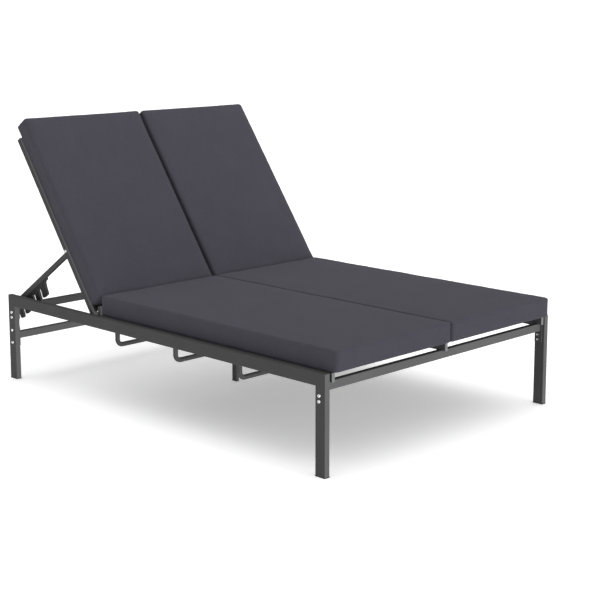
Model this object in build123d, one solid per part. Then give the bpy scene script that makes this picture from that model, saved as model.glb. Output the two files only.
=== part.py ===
from build123d import *
import math
import os

os.makedirs("parts", exist_ok=True)

# Double chaise lounger, millimetres.
# X runs across, +Y towards the head end, +Z up; the origin is on the floor at the
# middle of the footprint.  The two places are mirror images about X = 0.

# ---------------------------------------------------------------- driving sizes
FRAME_L = 1600.0          # outside of foot legs to outside of head legs
FRAME_W = 1100.0          # outside of side rails
FRAME_H = 312.0           # floor to top of side rails
RAIL_H = 40.0             # rail and leg tube, tall side
RAIL_T = 20.0             # rail and leg tube, narrow side
WALL = 1.5                # tube wall
CORNER_R = 2.2            # outside corner radius of the tubes

CAP_H = 4.0               # floor caps of the legs

HINGE_Y = 320.7           # backrest hinge
HINGE_Z = 303.0
BACK_ANGLE = 54.6         # backrest angle above the floor, highest notch
BACK_TUBE = 20.0          # backrest tube, square
BACK_LEN = 708.0          # hinge to top end of the backrest tubes
BACK_X0, BACK_X1 = 8.0, 528.0

SEAT_RAIL_W = 12.0        # rails that carry the seat slings
SEAT_RAIL_H = 27.0
SEAT_RAIL_Z = 283.5       # underside
SEAT_RAIL_X = 516.0       # centre of the outer seat rails
SEAT_RAIL_END = 300.0     # head end of the outer seat rails
CENTRE_RAIL_END = 335.0

PIVOT_S = 254.5           # strut pivot, along the backrest from the hinge
STRUT_X = 501.0           # middle plane of the struts
STRUT_W = 12.0
STRUT_D = 18.0
STRUT_LEN = 418.0
COMB_T = 9.0
COMB_PITCH = 44.8
SLOT_W = 15.8
SLOT_SEAT_V = -29.9       # pin centre when seated, below the strut's axis
COMB_TIP_V = -63.0
LATCH_Y, LATCH_Z, LATCH_R = 775.0, 263.25, 7.5
COMB_GAP = 0.6            # side clearance of the latch pins to the strut's plane

BRACE_Y = (201.5, -100.0, -404.0)
BRACE_D = 16.0
BRACE_Z = 220.0           # centre of the level run
BRACE_BEND = 20.0         # centre-line bend radius

SEAT_CUSH_X = (1.5, 523.0)
BACK_CUSH_X = (1.5, 525.0)
SEAT_CUSH = (-820.0, 284.0, 311.0, 377.0)     # y0, y1, z0, z1
BACK_CUSH = (31.0, 753.0, 12.0, 68.0)         # along and across the backrest
CUSH_R = 9.0

PIN_R = 4.0               # hinge pins
PIN_CLEAR = 0.05
BOLT_R = 3.0
BOLT_HOLE_R = 3.2

FRONT_BOLTS = [(-776.0, 245.0), (-776.0, 228.0)]
REAR_UP_BOLTS = [(780.0, 248.0), (780.0, 230.0)]
REAR_LOW_BOLTS = [(780.0, 182.0), (780.0, 136.0)]

XO = FRAME_W / 2          # outer face of the side rails
XI = XO - RAIL_T          # inner face of the side rails
YE = FRAME_L / 2


# ---------------------------------------------------------------- helpers
def box(x0, x1, y0, y1, z0, z1):
    return Pos((x0 + x1) / 2, (y0 + y1) / 2, (z0 + z1) / 2) * Box(
        x1 - x0, y1 - y0, z1 - z0
    )


def section(a, b, wall, r):
    outer = RectangleRounded(a, b, r)
    if not wall:
        return outer
    return outer - RectangleRounded(a - 2 * wall, b - 2 * wall, max(r - wall, 0.5))


def tube(axis, x0, x1, y0, y1, z0, z1, wall=WALL, r=CORNER_R):
    """Rectangular tube with rounded corners that fills the given box."""
    dx, dy, dz = x1 - x0, y1 - y0, z1 - z0
    c = Pos((x0 + x1) / 2, (y0 + y1) / 2, (z0 + z1) / 2)
    if axis == "x":
        return c * Rot(0, 90, 0) * extrude(section(dz, dy, wall, r), dx / 2, both=True)
    if axis == "y":
        return c * Rot(-90, 0, 0) * extrude(section(dx, dz, wall, r), dy / 2, both=True)
    return c * extrude(section(dx, dy, wall, r), dz / 2, both=True)


def prism(points, x0, x1):
    """Closed outline in the Y-Z plane, from x0 to x1."""
    face = make_face(Polyline(*points, close=True).edges())
    return extrude(Plane.YZ.offset(x0) * face, amount=x1 - x0)


def rod(r, x0, x1, y, z):
    return Pos((x0 + x1) / 2, y, z) * Rot(0, 90, 0) * Cylinder(r, x1 - x0)


def ring(r_out, r_in, x0, x1, y, z):
    return rod(r_out, x0, x1, y, z) - rod(r_in, x0 - 1, x1 + 1, y, z)


def hexnut(across, r_in, x0, x1, y, z):
    body = extrude(
        Plane.YZ.offset(x0) * (Pos(y, z) * RegularPolygon(across / 2, 6, major_radius=False)),
        amount=x1 - x0,
    )
    return body - rod(r_in, x0 - 1, x1 + 1, y, z)


def hexsocket(across, x0, x1, y, z):
    return extrude(
        Plane.YZ.offset(x0) * (Pos(y, z) * RegularPolygon(across / 2, 6, major_radius=False)),
        amount=x1 - x0,
    )


def flip(p):
    return mirror(p, about=Plane.YZ)


def both(p):
    return [p, flip(p)]


nodes = {}


def add(name, *solids):
    flat = []
    for s in solids:
        flat.extend(s if isinstance(s, list) else [s])
    nodes[name] = flat[0] if len(flat) == 1 else Compound(children=[Part(x.wrapped) if not isinstance(x, Part) else x for x in flat])


# ---------------------------------------------------------------- side frames
# Each side is a 40 x 20 tube rail, mitred into a leg at either end.
rail = tube("y", -XO, -XI, -YE, YE, FRAME_H - RAIL_H, FRAME_H)
rail = rail & prism(
    [(-YE, FRAME_H), (-YE + RAIL_H, FRAME_H - RAIL_H), (YE - RAIL_H, FRAME_H - RAIL_H), (YE, FRAME_H)],
    -XO - 1, -XI + 1,
)
add("side_rail_left", rail)
add("side_rail_right", flip(rail))

leg_f = tube("z", -XO, -XI, -YE, -YE + RAIL_H, CAP_H, FRAME_H)
leg_f = leg_f & prism(
    [(-YE, 0), (-YE + RAIL_H, 0), (-YE + RAIL_H, FRAME_H - RAIL_H), (-YE, FRAME_H)], -XO - 1, -XI + 1
)
for y, z in FRONT_BOLTS:
    leg_f -= rod(BOLT_HOLE_R, -XO - 5, -XI + 5, y, z)
leg_r = tube("z", -XO, -XI, YE - RAIL_H, YE, CAP_H, FRAME_H)
leg_r = leg_r & prism(
    [(YE, 0), (YE - RAIL_H, 0), (YE - RAIL_H, FRAME_H - RAIL_H), (YE, FRAME_H)], -XO - 1, -XI + 1
)
for y, z in REAR_UP_BOLTS + REAR_LOW_BOLTS:
    leg_r -= rod(BOLT_HOLE_R, -XO - 5, -XI + 5, y, z)
add("foot_leg_left", leg_f)
add("foot_leg_right", flip(leg_f))
add("head_leg_left", leg_r)
add("head_leg_right", flip(leg_r))


# Moulded caps: a floor pad and a plug that goes up inside the leg.
def floor_cap(xc, yc, w, d):
    pad = Pos(xc, yc, CAP_H / 2) * Box(w, d, CAP_H)
    pad = fillet(pad.edges().group_by(Axis.Z)[0], 1.2)
    plug = Pos(xc, yc, CAP_H + 8) * Box(w - 2 * WALL - 0.4, d - 2 * WALL - 0.4, 16)
    return pad + plug


LEG_XC = XO - RAIL_T / 2
LEG_YC = YE - RAIL_H / 2
CLEG_Y0, CLEG_Y1 = 164.0, 189.0
caps = []
for yc in (-LEG_YC, LEG_YC):
    caps += both(floor_cap(-LEG_XC, yc, RAIL_T, RAIL_H))
caps.append(floor_cap(0, (CLEG_Y0 + CLEG_Y1) / 2, SEAT_RAIL_W, CLEG_Y1 - CLEG_Y0))
add("leg_floor_caps", caps)

# ---------------------------------------------------------------- cross members
PLATE = 3.0
XP = XI - PLATE

add("foot_crossbar", tube("x", -XP, XP, -784, -764, 256.5, SEAT_RAIL_Z))
fp = box(-XI, -XP, -790, -762, 219, 284)
for y, z in FRONT_BOLTS:
    fp -= rod(BOLT_HOLE_R, -XI - 5, -XP + 5, y, z)
add("foot_crossbar_plates", both(fp))

add("head_lower_crossbar", tube("x", -XP, XP, 764, 786, 150.5, 175.5))
lp = box(-XI, -XP, 763, 797, 124, 194)
for y, z in REAR_LOW_BOLTS:
    lp -= rod(BOLT_HOLE_R, -XI - 5, -XP + 5, y, z)
add("head_lower_crossbar_plates", both(lp))

# The upper crossbar ends just inside the combs; steel plugs close it and carry
# the inner ends of the latch pins.
UX = 493.0
add("head_upper_crossbar", tube("x", -UX, UX, 764, 786, 250.5, 276))
plug = box(-UX, -UX + 24, 764 + WALL + 0.3, 786 - WALL - 0.3, 250.5 + WALL + 0.3, 276 - WALL - 0.3)
plug += rod(LATCH_R, -(STRUT_X - STRUT_W / 2) + COMB_GAP, -UX + 1, LATCH_Y, LATCH_Z)
add("latch_bar_plugs", both(plug))

# Corner gussets: down the inside of the leg and forward under the rail's top.
gus = prism([(762, 222), (798, 222), (798, 290), (700, 290), (700, 274), (762, 274)], -XI, -XP)
gus = fillet(gus.edges().filter_by(Axis.X).group_by(Axis.Y)[0], 4)
for y, z in REAR_UP_BOLTS:
    gus -= rod(BOLT_HOLE_R, -XI - 5, -XP + 5, y, z)
add("head_gusset_plates", both(gus))

# Outer latch pins, welded to the gussets.  They stop short of the strut's plane.
add("latch_pins", both(rod(LATCH_R, -XP, -(STRUT_X + STRUT_W / 2) - COMB_GAP, LATCH_Y, LATCH_Z)))

# Pads that the backrest tubes come down on when they are flat.
PAD_TOP = HINGE_Z - BACK_TUBE / 2 - 0.4
pad_o = box(-526.5, -508.5, 765, 785, LATCH_Z + 0.2, PAD_TOP) - rod(LATCH_R, -530, -500, LATCH_Y, LATCH_Z)
pad_i = box(-BACK_X0 - BACK_TUBE, -BACK_X0, 765, 785, 276, PAD_TOP)
add("flat_rest_pads", both(pad_o), both(pad_i))

add("head_centre_post", tube("z", -10, 10, 765, 785, 175.5, 250.5))

# ---------------------------------------------------------------- seat frame
sx0, sx1 = SEAT_RAIL_X + SEAT_RAIL_W / 2, SEAT_RAIL_X - SEAT_RAIL_W / 2
SEAT_TOP = SEAT_RAIL_Z + SEAT_RAIL_H
FOOT_END = -YE + 2
seat_rail = tube("y", -sx0, -sx1, FOOT_END, SEAT_RAIL_END, SEAT_RAIL_Z, SEAT_TOP)
add("seat_rail_left", seat_rail)
add("seat_rail_right", flip(seat_rail))
centre_rail = tube("y", -SEAT_RAIL_W / 2, SEAT_RAIL_W / 2, FOOT_END, CENTRE_RAIL_END, SEAT_RAIL_Z, SEAT_TOP)
centre_rail -= rod(PIN_R, -10, 10, HINGE_Y, HINGE_Z)
add("seat_rail_centre", centre_rail)


def rail_cap(xc, y_face, direction):
    """Plastic end cap: 1.5 to 2 mm lip outside, plug inside."""
    lip = 2.0 if direction < 0 else 1.4
    zc = SEAT_RAIL_Z + SEAT_RAIL_H / 2
    a = Pos(xc, y_face + direction * lip / 2, zc) * Box(SEAT_RAIL_W, lip, SEAT_RAIL_H)
    b = Pos(xc, y_face - direction * 4, zc) * Box(SEAT_RAIL_W - 2 * WALL - 0.4, 8, SEAT_RAIL_H - 2 * WALL - 0.4)
    return a + b


add(
    "seat_rail_end_caps",
    both(rail_cap(-SEAT_RAIL_X, FOOT_END, -1)),
    both(rail_cap(-SEAT_RAIL_X, SEAT_RAIL_END, 1)),
    [rail_cap(0, FOOT_END, -1), rail_cap(0, CENTRE_RAIL_END, 1)],
)

# Upright stops at the head end of the outer seat rails keep the cushions in place.
stop = box(-sx0, -sx1, 285, 299, SEAT_TOP, 341)
stop = fillet(stop.edges().filter_by(Axis.X).group_by(Axis.Z)[-1], 3)
add("cushion_stops", both(stop))

# Distance blocks that tie the seat rails to the side rails.
blocks = []
for y in (-640, -250, 60, 272):
    blocks += both(box(-XI, -sx0, y, y + 26, 287, 307))
add("seat_rail_spacers", blocks)

# Dipping cross braces: one bent round tube each, welded under the outer seat rails.
def brace(y):
    pts = [(-SEAT_RAIL_X, y, SEAT_RAIL_Z), (-SEAT_RAIL_X, y, BRACE_Z), (SEAT_RAIL_X, y, BRACE_Z), (SEAT_RAIL_X, y, SEAT_RAIL_Z)]
    path = FilletPolyline(*pts, radius=BRACE_BEND)
    start = Plane(origin=pts[0], x_dir=(1, 0, 0), z_dir=(0, 0, -1))
    ringface = start * (Circle(BRACE_D / 2) - Circle(BRACE_D / 2 - WALL))
    return sweep(ringface, path=path)


add("seat_brace_head", brace(BRACE_Y[0]))
add("seat_brace_middle", brace(BRACE_Y[1]))
add("seat_brace_foot", brace(BRACE_Y[2]))

add("centre_leg", tube("z", -SEAT_RAIL_W / 2, SEAT_RAIL_W / 2, CLEG_Y0, CLEG_Y1, CAP_H, SEAT_RAIL_Z))

# Seat slings, stretched between the seat rails.
sling = box(-sx1, -SEAT_RAIL_W / 2, -790, 282, SEAT_TOP - 1.6, SEAT_TOP - 0.1)
add("seat_sling_left", sling)
add("seat_sling_right", flip(sling))

y0, y1, z0, z1 = SEAT_CUSH
cush = fillet(box(-SEAT_CUSH_X[1], -SEAT_CUSH_X[0], y0, y1, z0, z1).edges(), CUSH_R)
add("seat_cushion_left", cush)
add("seat_cushion_right", flip(cush))

# ---------------------------------------------------------------- frame bolts
bolts, nuts = [], []
for y, z in FRONT_BOLTS + REAR_UP_BOLTS + REAR_LOW_BOLTS:
    head = rod(5.5, -XO - 2.6, -XO, y, z)
    head = fillet(head.edges().group_by(Axis.X)[0], 1.6)
    head -= hexsocket(4.0, -XO - 3.0, -XO - 1.0, y, z)
    bolts += both(head + rod(BOLT_R, -XO, -XP + 6.5, y, z))
    nuts += both(hexnut(10.0, BOLT_R, -XP, -XP + 5, y, z))
add("frame_bolts", bolts)
add("frame_nuts", nuts)

# ---------------------------------------------------------------- hinges
# Outer pins are welded to the side rails and held again by an ear on the seat rail.
ear = box(-507.5, -504.5, 262, HINGE_Y, 291, 307) + rod(12, -507.5, -504.5, HINGE_Y, HINGE_Z)
ear += box(-sx1, -507.5, 262, 298, 291, 307)
ear -= rod(PIN_R, -520, -500, HINGE_Y, HINGE_Z)
add("hinge_ears", both(ear))

outer_pin = rod(PIN_R, -XI, -498.5, HINGE_Y, HINGE_Z)
inner_pin = rod(PIN_R, -34.5, 34.5, HINGE_Y, HINGE_Z)
add("hinge_pins", both(outer_pin), [inner_pin])

wash = ring(9, PIN_R, -XI, -XI + 1.9, HINGE_Y, HINGE_Z)
wash_i = ring(9, PIN_R, -BACK_X0 + 0.1, -SEAT_RAIL_W / 2, HINGE_Y, HINGE_Z)
nut_o = hexnut(13.0, PIN_R, -504.5, -499.5, HINGE_Y, HINGE_Z)
nut_i = hexnut(13.0, PIN_R, -33.5, -28.4, HINGE_Y, HINGE_Z)
add("hinge_washers", both(wash), both(wash_i))
add("hinge_nuts", both(nut_o), both(nut_i))

# ---------------------------------------------------------------- backrests
# Built lying flat with the hinge at the origin (Y along the backrest, Z up its
# front face), then turned to the highest notch.
BACK = Pos(0, HINGE_Y, HINGE_Z) * Rot(BACK_ANGLE, 0, 0)
HB = BACK_TUBE / 2
BOT = -13.0
bx0, bx1 = BACK_X1, BACK_X1 - BACK_TUBE        # outer tube
ix0, ix1 = BACK_X0 + BACK_TUBE, BACK_X0        # inner tube

outer = tube("y", -bx0, -bx1, BOT, BACK_LEN, -HB, HB)
outer -= rod(6.0, -bx0 - 2, -bx1 + 2, 0, 0)
outer -= rod(BOLT_HOLE_R, -bx0 - 2, -bx1 + 2, PIVOT_S, 0)
inner = tube("y", -ix0, -ix1, BOT, BACK_LEN, -HB, HB)
inner -= rod(6.0, -ix0 - 2, -ix1 + 2, 0, 0)
top_bar = tube("x", -bx1, -ix0, 690, 706, -HB, HB)
low_bar = tube("x", -bx1, -ix0, 24, 44, -HB, 6)


def back_plug(xc, y_face, direction):
    a = Pos(xc, y_face + direction * 1.0, 0) * Box(BACK_TUBE, 2.0, BACK_TUBE)
    inside = BACK_TUBE - 2 * WALL - 0.4
    depth = 12.0 if direction > 0 else 6.0
    b = Pos(xc, y_face - direction * depth / 2, 0) * Box(inside, depth, inside)
    return a + b


plugs = [back_plug(-(bx0 + bx1) / 2, BACK_LEN, 1), back_plug(-(ix0 + ix1) / 2, BACK_LEN, 1),
         back_plug(-(bx0 + bx1) / 2, BOT, -1), back_plug(-(ix0 + ix1) / 2, BOT, -1)]
bushes = [ring(6.0, PIN_R + PIN_CLEAR, -bx0, -bx1, 0, 0), ring(6.0, PIN_R + PIN_CLEAR, -ix0, -ix1, 0, 0)]
back_sling = box(-bx0 + 8, -ix1 - 8, 12, 706, HB, HB + 1.5)
s0, s1, n0, n1 = BACK_CUSH
back_cush = fillet(box(-BACK_CUSH_X[1], -BACK_CUSH_X[0], s0, s1, n0, n1).edges(), CUSH_R)

# Strut pivot: low rivet head outside, washer between tube and strut, nut inside.
piv = rod(5.2, -bx0 - 1.5, -bx0, PIVOT_S, 0)
piv = fillet(piv.edges().group_by(Axis.X)[0], 0.9)
piv += rod(BOLT_R, -bx0, -(STRUT_X - STRUT_W / 2) + 6.5, PIVOT_S, 0)
piv_washer = ring(7.5, BOLT_R, -bx1, -(STRUT_X + STRUT_W / 2) - 0.1, PIVOT_S, 0)
piv_nut = hexnut(10.0, BOLT_R, -(STRUT_X - STRUT_W / 2) + 0.1, -(STRUT_X - STRUT_W / 2) + 5.1, PIVOT_S, 0)

for side, m in (("left", lambda p: p), ("right", flip)):
    def put(name, *solids):
        add(name, [BACK * m(x) for x in solids])

    put("back_outer_tube_" + side, outer)
    put("back_inner_tube_" + side, inner)
    put("back_top_bar_" + side, top_bar)
    put("back_low_bar_" + side, low_bar)
    put("back_tube_plugs_" + side, *plugs)
    put("hinge_bushes_" + side, *bushes)
    put("back_sling_" + side, back_sling)
    put("back_cushion_" + side, back_cush)
    put("strut_pivot_bolt_" + side, piv, piv_washer, piv_nut)

# ---------------------------------------------------------------- struts
# One on the outer side of each backrest: a folded channel, open below, with a
# moulded comb pressed up into it.  The last slot sits on the latch pin.
ca, sa = math.cos(math.radians(BACK_ANGLE)), math.sin(math.radians(BACK_ANGLE))
PIV_Y, PIV_Z = HINGE_Y + PIVOT_S * ca, HINGE_Z + PIVOT_S * sa
dy, dz = LATCH_Y - PIV_Y, LATCH_Z - PIV_Z
reach = math.hypot(dy, dz)
SEAT_U = math.sqrt(reach ** 2 - SLOT_SEAT_V ** 2)
STRUT_ANGLE = math.degrees(math.atan2(dz, dy) - math.atan2(SLOT_SEAT_V, SEAT_U))
STRUT = Pos(0, PIV_Y, PIV_Z) * Rot(STRUT_ANGLE, 0, 0)
print(f"strut pivot at {PIV_Y:.2f} {PIV_Z:.2f}, angle {STRUT_ANGLE:.2f}, seat at {SEAT_U:.1f}")

SX0, SX1 = -(STRUT_X + STRUT_W / 2), -(STRUT_X - STRUT_W / 2)
HD = STRUT_D / 2
arm = box(SX0, SX1, 0, STRUT_LEN, -HD, HD) + rod(HD, SX0, SX1, 0, 0)
arm = fillet(arm.edges().filter_by(Axis.Y).group_by(Axis.Z)[-1], 1.2)
arm -= box(SX0 + WALL, SX1 - WALL, -20, STRUT_LEN + 5, -HD - 5, HD - WALL)
arm -= rod(BOLT_R + 0.08, SX0 - 2, SX1 + 2, 0, 0)

slot_dir = (0.173, -0.985)
outline = [
    (216, 5), (412, 5), (412, -HD - 0.2), (418, -HD - 0.2), (425, -40), (428, COMB_TIP_V + 5),
    (422, COMB_TIP_V), (228, COMB_TIP_V), (222, COMB_TIP_V + 3), (219, -40), (213, -19),
    (205, -16), (196, -17), (194, -HD - 0.2), (216, -HD - 0.2),
]
comb2d = make_face(Polyline(*outline, close=True).edges())
for k in range(4):
    uk = SEAT_U - COMB_PITCH * (3 - k)
    ex, ey = slot_dir
    px, py = -ey, ex
    h = SLOT_W / 2
    far = (uk + ex * 60, SLOT_SEAT_V + ey * 60)
    quad = make_face(Polyline(
        (uk + px * h, SLOT_SEAT_V + py * h), (far[0] + px * h, far[1] + py * h),
        (far[0] - px * h, far[1] - py * h), (uk - px * h, SLOT_SEAT_V - py * h), close=True).edges())
    comb2d -= quad
    comb2d -= Pos(uk, SLOT_SEAT_V) * Circle(h)
tips = [v for v in comb2d.vertices() if v.Y < COMB_TIP_V + 0.5 and 235 < v.X < 423]
comb2d = fillet(tips, 6.0)
comb = extrude(Plane.YZ.offset(-(STRUT_X + COMB_T / 2)) * comb2d, amount=COMB_T)

for side, m in (("left", lambda p: p), ("right", flip)):
    add("strut_arm_" + side, STRUT * m(arm))
    add("strut_comb_" + side, STRUT * m(comb))

# ---------------------------------------------------------------- write
for name, shape in nodes.items():
    export_step(shape, f"parts/{name}.step")
print(len(nodes), "nodes written")
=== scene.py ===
import math

import bpy
import numpy as np
from mathutils import Matrix, Vector
from mathutils.kdtree import KDTree


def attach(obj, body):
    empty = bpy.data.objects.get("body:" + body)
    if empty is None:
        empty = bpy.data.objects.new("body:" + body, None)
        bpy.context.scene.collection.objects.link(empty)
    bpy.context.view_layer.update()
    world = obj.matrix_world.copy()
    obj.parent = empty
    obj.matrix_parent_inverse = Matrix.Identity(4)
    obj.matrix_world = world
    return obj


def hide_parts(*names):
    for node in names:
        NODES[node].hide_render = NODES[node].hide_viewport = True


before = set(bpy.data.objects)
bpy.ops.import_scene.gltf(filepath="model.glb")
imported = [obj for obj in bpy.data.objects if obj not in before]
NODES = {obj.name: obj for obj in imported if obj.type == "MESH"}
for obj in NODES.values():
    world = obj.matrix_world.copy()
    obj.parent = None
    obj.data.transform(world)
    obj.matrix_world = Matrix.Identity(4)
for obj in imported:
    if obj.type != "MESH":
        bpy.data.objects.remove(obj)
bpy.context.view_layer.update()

SCENE = bpy.context.scene
MM = 0.001


def link(o):
    SCENE.collection.objects.link(o)
    return o


# ------------------------------------------------------------------ camera
# The photograph: 1403.5 px focal length on a 600 px frame, 1.36 m above the floor.
cam_data = bpy.data.cameras.new("camera")
cam = link(bpy.data.objects.new("camera", cam_data))
cam_data.sensor_width = 36.0
cam_data.lens = 1403.54 / 600 * 36.0
cam_data.shift_y = -0.10
cam_data.clip_start, cam_data.clip_end = 0.05, 900
cam.location = (-3.36532, -3.48557, 1.35717)
cam.rotation_euler = (math.radians(90 - 9.551), 0, math.radians(-45.291))
SCENE.camera = cam

# ------------------------------------------------------------------ light and floor
SCENE.view_settings.view_transform = "Standard"
SCENE.view_settings.look = "None"

# A white studio: the camera sees plain white, and the light comes from a bright band
# round the horizon, a broad source in front and a softer one overhead.
world = bpy.data.worlds.new("studio")
SCENE.world = world
world.use_nodes = True
wt = world.node_tree
wt.nodes.clear()


def wnode(kind, **inputs):
    n = wt.nodes.new(kind)
    for k, v in inputs.items():
        key = int(k[1:]) if k[0] == "i" and k[1:].isdigit() else k
        if isinstance(v, bpy.types.NodeSocket):
            wt.links.new(v, n.inputs[key])
        else:
            n.inputs[key].default_value = v
    return n


def wmath(op, a, b):
    n = wnode("ShaderNodeMath", i0=a, i1=b)
    n.operation = op
    return n.outputs[0]


HORIZON, FRONT, OVERHEAD, BACKDROP = 1.12, 4.3, 2.38, 1.06
direction = wnode("ShaderNodeVectorMath", i0=wt.nodes.new("ShaderNodeTexCoord").outputs["Generated"])
direction.operation = "NORMALIZE"
height = wnode("ShaderNodeSeparateXYZ", i0=direction.outputs[0]).outputs[2]
band = wmath("POWER", wmath("SUBTRACT", 1.0, wmath("ABSOLUTE", height, 0.0)), 9.0)
facing = wnode("ShaderNodeVectorMath", i0=direction.outputs[0], i1=Vector((0.1, -1.0, 0.05)).normalized())
facing.operation = "DOT_PRODUCT"
front = wmath("POWER", wmath("MAXIMUM", facing.outputs["Value"], 0.0), 12.0)
above = wmath("POWER", wmath("MAXIMUM", height, 0.0), 3.0)
glow = wmath("ADD", wmath("ADD", wmath("MULTIPLY", band, HORIZON), wmath("MULTIPLY", front, FRONT)), wmath("MULTIPLY", above, OVERHEAD))
w_light = wnode("ShaderNodeBackground", Strength=glow)
w_white = wnode("ShaderNodeBackground", Strength=BACKDROP)
for n in (w_light, w_white):
    n.inputs["Color"].default_value = (1.0, 1.0, 1.0, 1)
w_mix = wnode("ShaderNodeMixShader", i0=wt.nodes.new("ShaderNodeLightPath").outputs["Is Camera Ray"])
wt.links.new(w_light.outputs[0], w_mix.inputs[1])
wt.links.new(w_white.outputs[0], w_mix.inputs[2])
wt.links.new(w_mix.outputs[0], wt.nodes.new("ShaderNodeOutputWorld").inputs["Surface"])


# Soft lights for the metalwork alone, from the foot end and from the left side.
FILLS = []
for name, energy, shadow, way in (
        ("front_fill", 5.4, False, (0, 1, -0.12)),
        ("shade_fill", 2.6, False, (0, 1, -0.12)),
        ("left_fill", 0.9, True, (1, 0.12, -0.02))):
    lamp = bpy.data.lights.new(name, "SUN")
    lamp.energy = energy
    lamp.angle = math.radians(12)
    lamp.use_shadow = shadow
    fill = link(bpy.data.objects.new(name, lamp))
    fill.rotation_euler = Vector(way).to_track_quat("-Z", "Y").to_euler()
    FILLS.append(fill)


# ------------------------------------------------------------------ material helpers
class Tree:
    def __init__(self, name):
        self.mat = bpy.data.materials.new(name)
        self.mat.use_nodes = True
        self.t = self.mat.node_tree
        self.t.nodes.clear()
        self.out = self.t.nodes.new("ShaderNodeOutputMaterial")
        self.bsdf = self.t.nodes.new("ShaderNodeBsdfPrincipled")
        self.t.links.new(self.bsdf.outputs[0], self.out.inputs["Surface"])
        self.coord = self.t.nodes.new("ShaderNodeTexCoord")

    def put(self, socket, value):
        self.bsdf.inputs[socket].default_value = value

    def link(self, a, b):
        self.t.links.new(a, b)

    def math(self, op, a, b=None, clamp=False):
        n = self.t.nodes.new("ShaderNodeMath")
        n.operation = op
        n.use_clamp = clamp
        for i, v in enumerate((a, b)):
            if v is None:
                continue
            if isinstance(v, (int, float)):
                n.inputs[i].default_value = v
            else:
                self.link(v, n.inputs[i])
        return n.outputs[0]

    def noise(self, scale, detail=3.0, rough=0.5, vector=None, stretch=None):
        n = self.t.nodes.new("ShaderNodeTexNoise")
        n.inputs["Scale"].default_value = scale
        n.inputs["Detail"].default_value = detail
        n.inputs["Roughness"].default_value = rough
        v = vector if vector is not None else self.coord.outputs["Object"]
        if stretch is not None:
            m = self.t.nodes.new("ShaderNodeMapping")
            m.inputs["Scale"].default_value = stretch
            self.link(v, m.inputs["Vector"])
            v = m.outputs[0]
        self.link(v, n.inputs["Vector"])
        return n.outputs["Fac"]

    def ramp(self, fac, stops):
        n = self.t.nodes.new("ShaderNodeValToRGB")
        e = n.color_ramp.elements
        while len(e) < len(stops):
            e.new(0.5)
        for i, (p, c) in enumerate(stops):
            e[i].position = p
            e[i].color = (*c, 1) if len(c) == 3 else c
        self.link(fac, n.inputs["Fac"])
        return n.outputs["Color"]

    def bump(self, height, strength, distance, normal=None):
        n = self.t.nodes.new("ShaderNodeBump")
        n.inputs["Strength"].default_value = strength
        n.inputs["Distance"].default_value = distance
        self.link(height, n.inputs["Height"])
        if normal is not None:
            self.link(normal, n.inputs["Normal"])
        return n.outputs["Normal"]

    def base(self, color):
        self.link(color, self.bsdf.inputs["Base Color"])

    def rough(self, fac, lo, hi):
        n = self.t.nodes.new("ShaderNodeMapRange")
        n.inputs["To Min"].default_value = lo
        n.inputs["To Max"].default_value = hi
        self.link(fac, n.inputs["Value"])
        self.link(n.outputs["Result"], self.bsdf.inputs["Roughness"])

    def normal(self, n):
        self.link(n, self.bsdf.inputs["Normal"])


def lerp(a, b, t):
    return tuple(x + (y - x) * t for x, y in zip(a, b))


def scaled(c, k):
    return tuple(min(1.0, x * k) for x in c)


def powder_coat():
    m = Tree("powder_coat")
    c = (0.0400, 0.0400, 0.0411)
    cloud = m.noise(7.0, 3.0, 0.55)
    grain = m.noise(620.0, 2.0, 0.6)
    mixed = m.math("ADD", m.math("MULTIPLY", cloud, 0.45), m.math("MULTIPLY", grain, 0.55))
    m.base(m.ramp(mixed, [(0.30, scaled(c, 0.86)), (0.52, c), (0.72, scaled(c, 1.22))]))
    m.rough(cloud, 0.50, 0.62)
    m.put("Specular IOR Level", 0.16)
    fine = m.noise(1500.0, 2.0, 0.55)
    peel = m.noise(260.0, 1.0, 0.5)
    n = m.bump(peel, 0.10, 0.0004)
    m.normal(m.bump(fine, 0.22, 0.00025, n))
    return m.mat


def zinc():
    m = Tree("zinc_hardware")
    c = (0.62, 0.62, 0.60)
    spots = m.noise(420.0, 4.0, 0.62)
    m.base(m.ramp(spots, [(0.30, scaled(c, 0.78)), (0.55, c), (0.75, scaled(c, 1.15))]))
    m.rough(m.noise(900.0, 3.0, 0.6), 0.24, 0.42)
    m.put("Metallic", 1.0)
    m.normal(m.bump(m.noise(1300.0, 3.0, 0.6), 0.12, 0.0002))
    return m.mat


def plastic(name, c, lo, hi, grain):
    m = Tree(name)
    cloud = m.noise(55.0, 3.0, 0.5)
    m.base(m.ramp(cloud, [(0.32, scaled(c, 0.85)), (0.68, scaled(c, 1.18))]))
    m.rough(m.noise(300.0, 2.0, 0.5), lo, hi)
    m.put("Specular IOR Level", 0.30)
    m.normal(m.bump(m.noise(grain, 2.0, 0.6), 0.22, 0.0003))
    return m.mat


def weave_axes(m):
    """In-plane coordinates for threads that run along the piece's own axes, chosen by which way the cloth faces."""
    xyz = m.t.nodes.new("ShaderNodeSeparateXYZ")
    m.link(m.coord.outputs["Object"], xyz.inputs[0])
    nrm = m.t.nodes.new("ShaderNodeSeparateXYZ")
    m.link(m.coord.outputs["Normal"], nrm.inputs[0])
    x, y, z = xyz.outputs
    ax, ay, az = (m.math("ABSOLUTE", o) for o in nrm.outputs)
    panel = m.math("GREATER_THAN", az, 0.70)
    side = m.math("MULTIPLY", m.math("GREATER_THAN", ax, ay), m.math("SUBTRACT", 1.0, panel))

    def pick(f, a, b):  # a where f is 0, b where it is 1
        return m.math("ADD", m.math("MULTIPLY", a, m.math("SUBTRACT", 1.0, f)), m.math("MULTIPLY", b, f))

    return pick(side, x, y), pick(panel, z, y)


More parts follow.
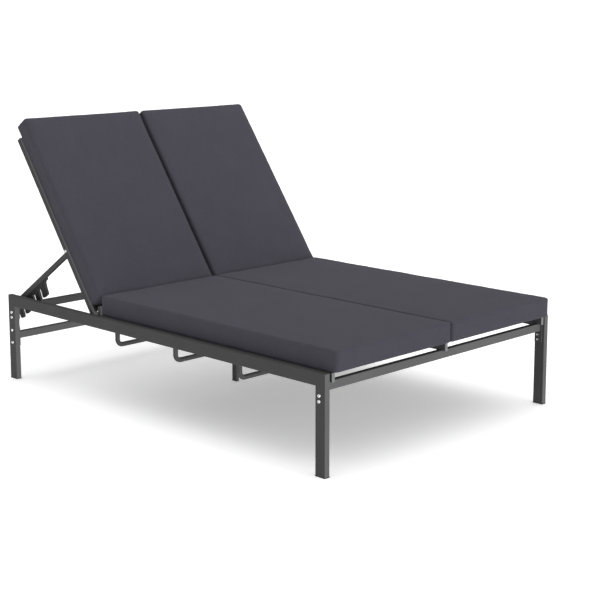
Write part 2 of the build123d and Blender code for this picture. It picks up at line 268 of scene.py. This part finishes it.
def plain_weave(m, u, v, pitch):
    """Height of a plain weave, 0 to 1, and which thread is on top."""
    k = math.pi / pitch
    su = m.math("SINE", m.math("MULTIPLY", u, k))
    sv = m.math("SINE", m.math("MULTIPLY", v, k))
    over = m.math("ADD", m.math("MULTIPLY", m.math("MULTIPLY", su, sv), 0.5), 0.5)
    warp = m.math("MULTIPLY", m.math("ABSOLUTE", su), over)
    weft = m.math("MULTIPLY", m.math("ABSOLUTE", sv), m.math("SUBTRACT", 1.0, over))
    return m.math("ADD", warp, weft), over


def cushion_cloth():
    m = Tree("cushion_fabric")
    u, v = weave_axes(m)
    h, over = plain_weave(m, u, v, 0.00115)
    vec = m.t.nodes.new("ShaderNodeCombineXYZ")
    m.link(u, vec.inputs[0])
    m.link(v, vec.inputs[1])
    # Uneven yarn: long thin streaks along each thread direction.
    slub_u = m.noise(1.0, 2.0, 0.55, vec.outputs[0], (850.0, 26.0, 1.0))
    slub_v = m.noise(1.0, 2.0, 0.55, vec.outputs[0], (26.0, 850.0, 1.0))
    heather = m.noise(1.0, 3.0, 0.6, vec.outputs[0], (420.0, 420.0, 1.0))
    cloud = m.noise(9.0, 3.0, 0.5)
    s = m.math("ADD", m.math("MULTIPLY", slub_u, 0.5), m.math("MULTIPLY", slub_v, 0.5))
    tone = m.math("ADD", m.math("MULTIPLY", s, 0.40), m.math("MULTIPLY", heather, 0.25))
    tone = m.math("ADD", tone, m.math("MULTIPLY", cloud, 0.09))
    # Painted shade: the hollows of the weave are coloured darker and the raised threads lighter.
    tone = m.math("ADD", tone, m.math("MULTIPLY", h, 0.26))
    c = (0.0478, 0.0458, 0.0582)
    m.base(m.ramp(tone, [(0.30, scaled(c, 0.66)), (0.50, c), (0.68, scaled(c, 1.36))]))
    m.rough(heather, 0.80, 0.95)
    m.put("Specular IOR Level", 0.15)
    m.put("Sheen Weight", 0.07)
    m.put("Sheen Roughness", 0.55)
    m.put("Sheen Tint", (0.80, 0.79, 0.90, 1))
    n = m.bump(s, 0.22, 0.0005)
    m.normal(m.bump(h, 0.50, 0.00035, n))
    return m.mat


def sling_mesh():
    m = Tree("sling_fabric")
    u, v = weave_axes(m)
    h, over = plain_weave(m, u, v, 0.0013)
    c = (0.022, 0.022, 0.024)
    cloud = m.noise(14.0, 2.0, 0.5)
    # Painted shade: the hollows of the weave are coloured much darker than the raised threads; the cloud adds random
    # mottling.
    tone = m.math("ADD", m.math("MULTIPLY", h, 0.7), m.math("MULTIPLY", cloud, 0.3))
    m.base(m.ramp(tone, [(0.20, scaled(c, 0.35)), (0.50, c), (0.80, scaled(c, 1.7))]))
    m.rough(over, 0.42, 0.60)
    m.put("Specular IOR Level", 0.45)
    m.normal(m.bump(h, 0.8, 0.0005))
    return m.mat


def floor_material():
    m = Tree("floor")
    m.base(m.ramp(m.noise(0.8, 3.0, 0.5), [(0.3, (0.955, 0.955, 0.955)), (0.7, (0.965, 0.965, 0.965))]))
    m.put("Roughness", 0.9)
    m.put("Specular IOR Level", 0.1)
    m.put("Emission Color", (1.0, 1.0, 1.0, 1))
    m.put("Emission Strength", 0.345)
    return m.mat


MAT = {
    "powder_coat": powder_coat(),
    "zinc_hardware": zinc(),
    "black_plastic": plastic("black_plastic", (0.020, 0.020, 0.020), 0.38, 0.55, 900.0),
    "grey_plastic": plastic("grey_plastic", (0.072, 0.072, 0.074), 0.35, 0.50, 900.0),
    "comb_plastic": plastic("comb_plastic", (0.009, 0.009, 0.0095), 0.55, 0.72, 700.0),
    "rubber_pad": plastic("rubber_pad", (0.014, 0.014, 0.014), 0.70, 0.88, 500.0),
    "sling_fabric": sling_mesh(),
    "cushion_fabric": cushion_cloth(),
}

PARTS = {
    "zinc_hardware": ("frame_bolts", "hinge_pins", "hinge_nuts", "strut_pivot_bolt"),
    "grey_plastic": ("seat_rail_end_caps",),
    "black_plastic": ("leg_floor_caps", "hinge_washers", "back_tube_plugs", "hinge_bushes"),
    "comb_plastic": ("strut_comb",),
    "rubber_pad": ("flat_rest_pads",),
}


def slot_of(node):
    for s, starts in PARTS.items():
        if node.startswith(starts):
            return s
    return "powder_coat"


for name, o in NODES.items():
    o.data.materials.clear()
    o.data.materials.append(MAT[slot_of(name)])

floor_mesh = bpy.data.meshes.new("floor")
floor_mesh.from_pydata([(-400, -400, 0), (400, -400, 0), (400, 400, 0), (-400, 400, 0)], [], [(0, 1, 2, 3)])
floor = link(bpy.data.objects.new("floor", floor_mesh))
floor_mesh.materials.append(floor_material())
open_metal, shaded_metal, left_lit = (bpy.data.collections.new(n) for n in ("open_metal", "shaded_metal", "left_lit"))
for name, o in NODES.items():
    shaded = name.startswith(("seat_brace", "head_upper_crossbar", "latch_bar_plugs", "centre_leg"))
    (shaded_metal if shaded else open_metal).objects.link(o)
    if not name.startswith(("back_", "strut_comb")):
        left_lit.objects.link(o)
for fill, receivers in zip(FILLS, (open_metal, shaded_metal, left_lit)):
    fill.light_linking.receiver_collection = receivers


# ------------------------------------------------------------------ mesh helpers
def mesh_object(name, verts, faces, mat, smooth=True):
    me = bpy.data.meshes.new(name)
    me.from_pydata([tuple(v) for v in verts], [], [tuple(int(i) for i in f) for f in faces])
    me.update()
    if smooth:
        me.polygons.foreach_set("use_smooth", [True] * len(me.polygons))
    me.materials.append(mat)
    return link(bpy.data.objects.new(name, me))


def waves(points, seed, lengths, count=7):
    """Smooth seeded noise over 3-D points, about -1 to 1; lengths are wavelengths in metres."""
    rng = np.random.RandomState(seed)
    total = np.zeros(len(points))
    for length in lengths:
        for _ in range(count):
            d = rng.normal(size=3)
            d /= np.linalg.norm(d)
            total += np.sin(points @ d * (2 * math.pi / (length * rng.uniform(0.75, 1.3))) + rng.uniform(0, 6.28))
    return total / math.sqrt(count * len(lengths)) / 1.2


def slab(hx, hy, profile, R, step):
    """A closed all-quad slab with rounded plan corners.  profile is [(inset, z)] from the
    top panel's edge, over the side, to the bottom panel's edge.  Returns vertices, faces
    and, for each vertex, its ring index (-1 inside the top panel, -2 inside the bottom panel)."""
    kc = 7
    mx, my = max(2, round(2 * (hx - R) / step)), max(2, round(2 * (hy - R) / step))

    def lines(h, m):
        out = [(-1, 1 - i / kc) for i in range(kc)]
        out += [(0, -(h - R) + 2 * (h - R) * i / m) for i in range(m + 1)]
        out += [(1, (i + 1) / kc) for i in range(kc)]
        return out

    lx, ly = lines(hx, mx), lines(hy, my)

    def place(a, b, d):
        (sa, va), (sb, vb) = a, b
        r = R - d
        if sa and sb:
            p, q = va, vb
            if p >= q:
                ang = math.pi / 4 * (q / p)
                cx, cy = p * math.cos(ang), p * math.sin(ang)
            else:
                ang = math.pi / 2 - math.pi / 4 * (p / q)
                cx, cy = q * math.cos(ang), q * math.sin(ang)
            return sa * (hx - R + cx * r), sb * (hy - R + cy * r)
        if sa:
            return sa * (hx - R + va * r), vb
        if sb:
            return va, sb * (hy - R + vb * r)
        return va, vb

    nx, ny = len(lx), len(ly)
    loop = [(i, 0) for i in range(nx - 1)] + [(nx - 1, j) for j in range(ny - 1)]
    loop += [(i, ny - 1) for i in range(nx - 1, 0, -1)] + [(0, j) for j in range(ny - 1, 0, -1)]
    verts, faces, ring = [], [], []
    d0, z0 = profile[0]
    d1, z1 = profile[-1]
    top = {}
    for i in range(nx):
        for j in range(ny):
            top[i, j] = len(verts)
            verts.append((*place(lx[i], ly[j], d0), z0))
            ring.append(0 if (i in (0, nx - 1) or j in (0, ny - 1)) else -1)
    for i in range(nx - 1):
        for j in range(ny - 1):
            faces.append((top[i, j], top[i + 1, j], top[i + 1, j + 1], top[i, j + 1]))
    previous = [top[k] for k in loop]
    for n, (d, z) in enumerate(profile[1:-1], 1):
        now = []
        for i, j in loop:
            now.append(len(verts))
            verts.append((*place(lx[i], ly[j], d), z))
            ring.append(n)
        for k in range(len(loop)):
            k2 = (k + 1) % len(loop)
            faces.append((previous[k], now[k], now[k2], previous[k2]))
        previous = now
    low = {}
    for i in range(nx):
        for j in range(ny):
            low[i, j] = len(verts)
            verts.append((*place(lx[i], ly[j], d1), z1))
            ring.append(len(profile) - 1 if (i in (0, nx - 1) or j in (0, ny - 1)) else -2)
    for i in range(nx - 1):
        for j in range(ny - 1):
            faces.append((low[i, j], low[i, j + 1], low[i + 1, j + 1], low[i + 1, j]))
    now = [low[k] for k in loop]
    for k in range(len(loop)):
        k2 = (k + 1) % len(loop)
        faces.append((previous[k], now[k], now[k2], previous[k2]))
    return np.array(verts), faces, np.array(ring)


UNDER_R = 5.0     # rounding under it
CORNER_R = 12.0   # rounding of the corners seen from above


def groove(s):
    """How far a sewn seam pulls the cloth in, millimetres, s from the seam."""
    return 0.45 * math.exp(-(s / 0.9) ** 2) - 0.15 * math.exp(-((abs(s) - 2.2) / 1.2) ** 2)


def cushion_profile(thick, panel_r):
    """(inset, z) of the boxed cushion's cross-section, metres, from the upper panel to the lower."""
    c = thick / 2
    out = []
    for r, up in ((panel_r, 1), (UNDER_R, -1)):
        arc = r * math.pi / 2
        seam = arc * 0.5
        at = {0.0, arc} | {seam + k for k in (-3.4, -2.3, -1.5, -0.8, 0.0, 0.8, 1.5, 2.3, 3.4) if 0.2 < seam + k < arc - 0.2}
        side = []
        for s in sorted(at):
            ang = math.pi / 2 - s / r
            q = r - groove(s - seam)
            side.append((r - q * math.cos(ang), up * (c - r + q * math.sin(ang))))
        out.append(side)
    top, low = out
    z0, z1 = top[-1][1], low[-1][1]
    band = [(0.0, z0 + (z1 - z0) * k / 8) for k in range(1, 8)]
    return [(max(d, -0.4) * MM, z * MM) for d, z in top + band + low[::-1]]


def simulate(name, hx, hy, hz, cap):
    """Swells a slightly smaller block as cloth under pressure.  Returns where the
    simulated points started and how far each one moved."""
    prof = []
    for s in np.linspace(0, 1, 7):
        ang = math.pi / 2 * (1 - s)
        prof.append((0.011 - 0.011 * math.cos(ang), hz - 0.011 + 0.011 * math.sin(ang)))
    prof += [(0.0, hz * k) for k in (0.4, 0.0, -0.4)]
    prof += [(d, -z) for d, z in reversed(prof[:7])]
    v, f, _ = slab(hx, hy, prof, 0.016, 0.012)
    start = mesh_object(name + "_start", v, f, MAT["cushion_fabric"])
    mod = start.modifiers.new("even", "REMESH")
    mod.mode = "VOXEL"
    mod.voxel_size = 0.0085
    dg = bpy.context.evaluated_depsgraph_get()
    even = bpy.data.meshes.new_from_object(start.evaluated_get(dg))
    o = link(bpy.data.objects.new(name + "_sim", even))
    bpy.data.objects.remove(start)
    before = np.empty(len(even.vertices) * 3, np.float32)
    even.vertices.foreach_get("co", before)
    before = before.reshape(-1, 3).astype(float)
    cloth = o.modifiers.new("cloth", "CLOTH")
    s = cloth.settings
    s.quality = 5
    s.mass = 0.25
    s.tension_stiffness = s.compression_stiffness = 18.0
    s.shear_stiffness = 8.0
    s.bending_stiffness = 1.5
    s.use_pressure = True
    s.uniform_pressure_force = 4.0
    s.effector_weights.gravity = 0.0
    cloth.point_cache.frame_start, cloth.point_cache.frame_end = 1, 20
    for f_no in range(1, 21):
        SCENE.frame_set(f_no)
    dg = bpy.context.evaluated_depsgraph_get()
    done = o.evaluated_get(dg).to_mesh()
    after = np.empty(len(done.vertices) * 3, np.float32)
    done.vertices.foreach_get("co", after)
    o.evaluated_get(dg).to_mesh_clear()
    SCENE.frame_set(1)
    bpy.data.objects.remove(o)
    move = after.reshape(-1, 3).astype(float) - before
    length = np.linalg.norm(move, axis=1)
    print(name, "simulated points", len(before), "moved mm", (length.mean() * 1000).round(1), (length.max() * 1000).round(1))
    soft = cap * (1 - np.exp(-length / cap))
    return before, move * (soft / np.maximum(length, 1e-9))[:, None]


def carry(points, before, move, n=8):
    """The simulated movement at other points: weighted by distance to the nearest ones."""
    tree = KDTree(len(before))
    for i, p in enumerate(before):
        tree.insert(p, i)
    tree.balance()
    out = np.zeros((len(points), 3))
    for i, p in enumerate(points):
        near = tree.find_n(p, n)
        w = np.array([1 / (d + 0.003) ** 2 for _, _, d in near])
        out[i] = (move[[k for _, k, _ in near]] * w[:, None]).sum(0) / w.sum()
    return out


def smoothed(verts, faces, field, rounds):
    """Averages a per-vertex field with its neighbours along the faces' edges."""
    e = np.array([(f[i], f[(i + 1) % 4]) for f in faces for i in range(4)])
    n = len(verts)
    count = np.bincount(e[:, 0], minlength=n) + np.bincount(e[:, 1], minlength=n)
    for _ in range(rounds):
        acc = np.zeros_like(field)
        np.add.at(acc, e[:, 0], field[e[:, 1]])
        np.add.at(acc, e[:, 1], field[e[:, 0]])
        field = 0.4 * field + 0.6 * acc / count[:, None]
    return field


SIM = {}


def cushion(name, half, panel_r, crown, tip, seed, mirror):
    """half: the cushion's half sizes in its own frame; panel_r: the rounding between the
    upper panel and the side band, millimetres; crown: how far the simulated
    swelling may lift its panels; tip: how far the underside rises at the foot end, metres."""
    hx, hy, hz = half
    prof = cushion_profile(hz * 2 / MM, panel_r)
    v, f, ring = slab(hx, hy, prof, max(CORNER_R, panel_r + 1.5) * MM, 0.0068)
    key = (round(hx, 4), round(hy, 4))
    if key not in SIM:
        SIM[key] = simulate(name, hx - 0.003, hy - 0.003, hz - 0.003, 0.009)
    before, move = SIM[key]
    q = v.copy()
    if mirror:
        q[:, 0] *= -1
    d = carry(q, before, move)
    if mirror:
        d[:, 0] *= -1
    d = smoothed(v, f, d, 5)
    # The cover is cut to size, so the edges stay where they are and the panels crown between them.
    rise = np.clip(np.abs(d[:, 2]) / 0.009, 0, 1)
    v[:, 2] += np.sign(v[:, 2]) * crown * rise * np.where(v[:, 2] > 0, 1.0, 0.2)
    out = np.sign(v[:, :2]) * d[:, :2]
    v[:, :2] += np.sign(v[:, :2]) * np.clip(out, -0.002, 0.004) * 0.22
    # The filling thins out towards the two ends.
    foot = np.clip((-v[:, 1] - (hy - 0.060)) / 0.060, 0, 1) ** 2
    head = np.clip((v[:, 1] - (hy - 0.060)) / 0.060, 0, 1) ** 2
    level = np.clip(v[:, 2] / hz, -1, 1)
    v[:, 2] -= 0.0008 * (foot + head) * np.clip(level, 0, 1)
    v[:, 2] += tip * foot * np.clip(-level, 0, 1)
    # Sides pull in between the corners, most at mid-length.
    fx, fy = np.clip(np.abs(v[:, 0]) / hx, 0, 1), np.clip(np.abs(v[:, 1]) / hy, 0, 1)
    v[:, 0] -= np.sign(v[:, 0]) * 0.0012 * fx ** 8 * (1 - fy ** 4)
    v[:, 1] -= np.sign(v[:, 1]) * 0.0012 * fy ** 8 * (1 - fx ** 4)
    # Slack in the cover: long low ripples near the edges, short ones beside the seams.
    edge = np.minimum(hx - np.abs(v[:, 0]), hy - np.abs(v[:, 1]))
    near = np.exp(-np.clip(edge, 0, 1) / 0.055)
    lift = 0.00050 * waves(v, seed, (0.16, 0.10)) * (0.35 + 0.65 * near)
    lift += 0.00028 * waves(v, seed + 1, (0.045, 0.030)) * near
    corner = np.hypot(hx - np.abs(v[:, 0]), hy - np.abs(v[:, 1]))
    lift += 0.0005 * waves(v * np.array([1.0, 1.0, 0.3]), seed + 2, (0.060,)) * np.exp(-corner / 0.07)
    top = v[:, 2] > 0
    v[:, 2] += np.where(top, lift, 0.3 * lift)
    side = np.abs(v[:, 2]) < hz - 0.012
    puff = 0.0004 * waves(v, seed + 3, (0.09, 0.05))
    sx = side & (hx - np.abs(v[:, 0]) < 0.010)
    sy = side & (hy - np.abs(v[:, 1]) < 0.010)
    v[sx, 0] += np.sign(v[sx, 0]) * puff[sx]
    v[sy, 1] += np.sign(v[sy, 1]) * puff[sy]
    # It rests flat on its sling, and stays in its own space.
    v[:, 2] = np.maximum(v[:, 2], -hz + 0.0002)
    v[:, 0] = np.clip(v[:, 0], -hx - 0.0008, hx + 0.0008)
    v[:, 1] = np.clip(v[:, 1], -hy - 0.0008, hy + 0.0008)
    v[:, 2] = np.minimum(v[:, 2], hz + 0.0038)
    return mesh_object(name, v, f, MAT["cushion_fabric"])


def at_seat(x, y, z):
    return Matrix.Translation((x, y, z))


HINGE = Vector((0, 0.3207, 0.3030))
LEAN = math.radians(54.6)


def on_back(x, s, n):
    """A frame on the backrest: X across, Y up along it, Z out of its front."""
    return Matrix.Translation(HINGE) @ Matrix.Rotation(LEAN, 4, "X") @ Matrix.Translation((x, s, n))


for side, sx in (("left", -1), ("right", 1)):
    o = cushion("seat_cushion_cloth_" + side, (0.26155, 0.5522, 0.0342), 7.5, 0.0026, 0.0040, 11 if sx < 0 else 31, sx > 0)
    o.matrix_world = at_seat(sx * 0.26225 + 0.0015, -0.2680, 0.3452)
    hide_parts("seat_cushion_" + side)
    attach(o, "frame")
    o = cushion("back_cushion_cloth_" + side, (0.26000, 0.3640, 0.0294), 12.0, 0.0030, 0.0, 51 if sx < 0 else 71, sx > 0)
    o.matrix_world = on_back(sx * 0.2656 + 0.0016, 0.3945, 0.0415)
    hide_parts("back_cushion_" + side)
    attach(o, "back_" + side)


# ------------------------------------------------------------------ slings
def sling(name, wide, length, seed):
    """Cloth stretched between two rails: a doubled hem along each long side, a folded
    hem at each end, and a shallow dip between the rails."""
    hx, hy, t = wide / 2, length / 2, 0.0009
    xs = np.unique(np.round(np.concatenate([
        [-hx, -hx + 0.0015, -hx + 0.016, -hx + 0.0172], np.linspace(-hx + 0.024, hx - 0.024, 60),
        [hx - 0.0172, hx - 0.016, hx - 0.0015, hx]]), 6))
    ys = np.unique(np.round(np.concatenate([
        [-hy, -hy + 0.0015, -hy + 0.020, -hy + 0.0212], np.linspace(-hy + 0.028, hy - 0.028, max(40, int(length / 0.009))),
        [hy - 0.0212, hy - 0.020, hy - 0.0015, hy]]), 6))
    X, Y = np.meshgrid(xs, ys, indexing="ij")
    P = np.stack([X.ravel(), Y.ravel(), np.zeros(X.size)], 1)
    hem = (np.abs(P[:, 0]) > hx - 0.0165) | (np.abs(P[:, 1]) > hy - 0.0205)
    dip = -0.0006 * (1 - (np.abs(P[:, 0]) / hx) ** 2) + 0.00010 * waves(P, seed, (0.12,)) * (1 - (np.abs(P[:, 0]) / hx) ** 6)
    up = dip + np.where(hem, 0.00035, 0.0)
    dn = dip - t - np.where(hem, 0.00035, 0.0)
    nx, ny = len(xs), len(ys)
    v = np.concatenate([np.c_[P[:, :2], up], np.c_[P[:, :2], dn]])
    idx = np.arange(nx * ny).reshape(nx, ny)
    k = nx * ny
    f = []
    for i in range(nx - 1):
        for j in range(ny - 1):
            a, b, c, d = idx[i, j], idx[i + 1, j], idx[i + 1, j + 1], idx[i, j + 1]
            f.append((a, b, c, d))
            f.append((d + k, c + k, b + k, a + k))
    loop = [idx[i, 0] for i in range(nx - 1)] + [idx[nx - 1, j] for j in range(ny - 1)]
    loop += [idx[i, ny - 1] for i in range(nx - 1, 0, -1)] + [idx[0, j] for j in range(ny - 1, 0, -1)]
    for a, b in zip(loop, loop[1:] + loop[:1]):
        f.append((a, a + k, b + k, b))
    return mesh_object(name, v, f, MAT["sling_fabric"])


for side, sx in (("left", -1), ("right", 1)):
    o = sling("seat_sling_cloth_" + side, 0.504, 1.072, 5)
    o.matrix_world = at_seat(sx * 0.258, -0.254, 0.31000)
    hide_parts("seat_sling_" + side)
    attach(o, "frame")
    o = sling("back_sling_cloth_" + side, 0.504, 0.694, 6)
    o.matrix_world = on_back(sx * 0.268, 0.359, 0.01115)
    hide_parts("back_sling_" + side)
    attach(o, "back_" + side)
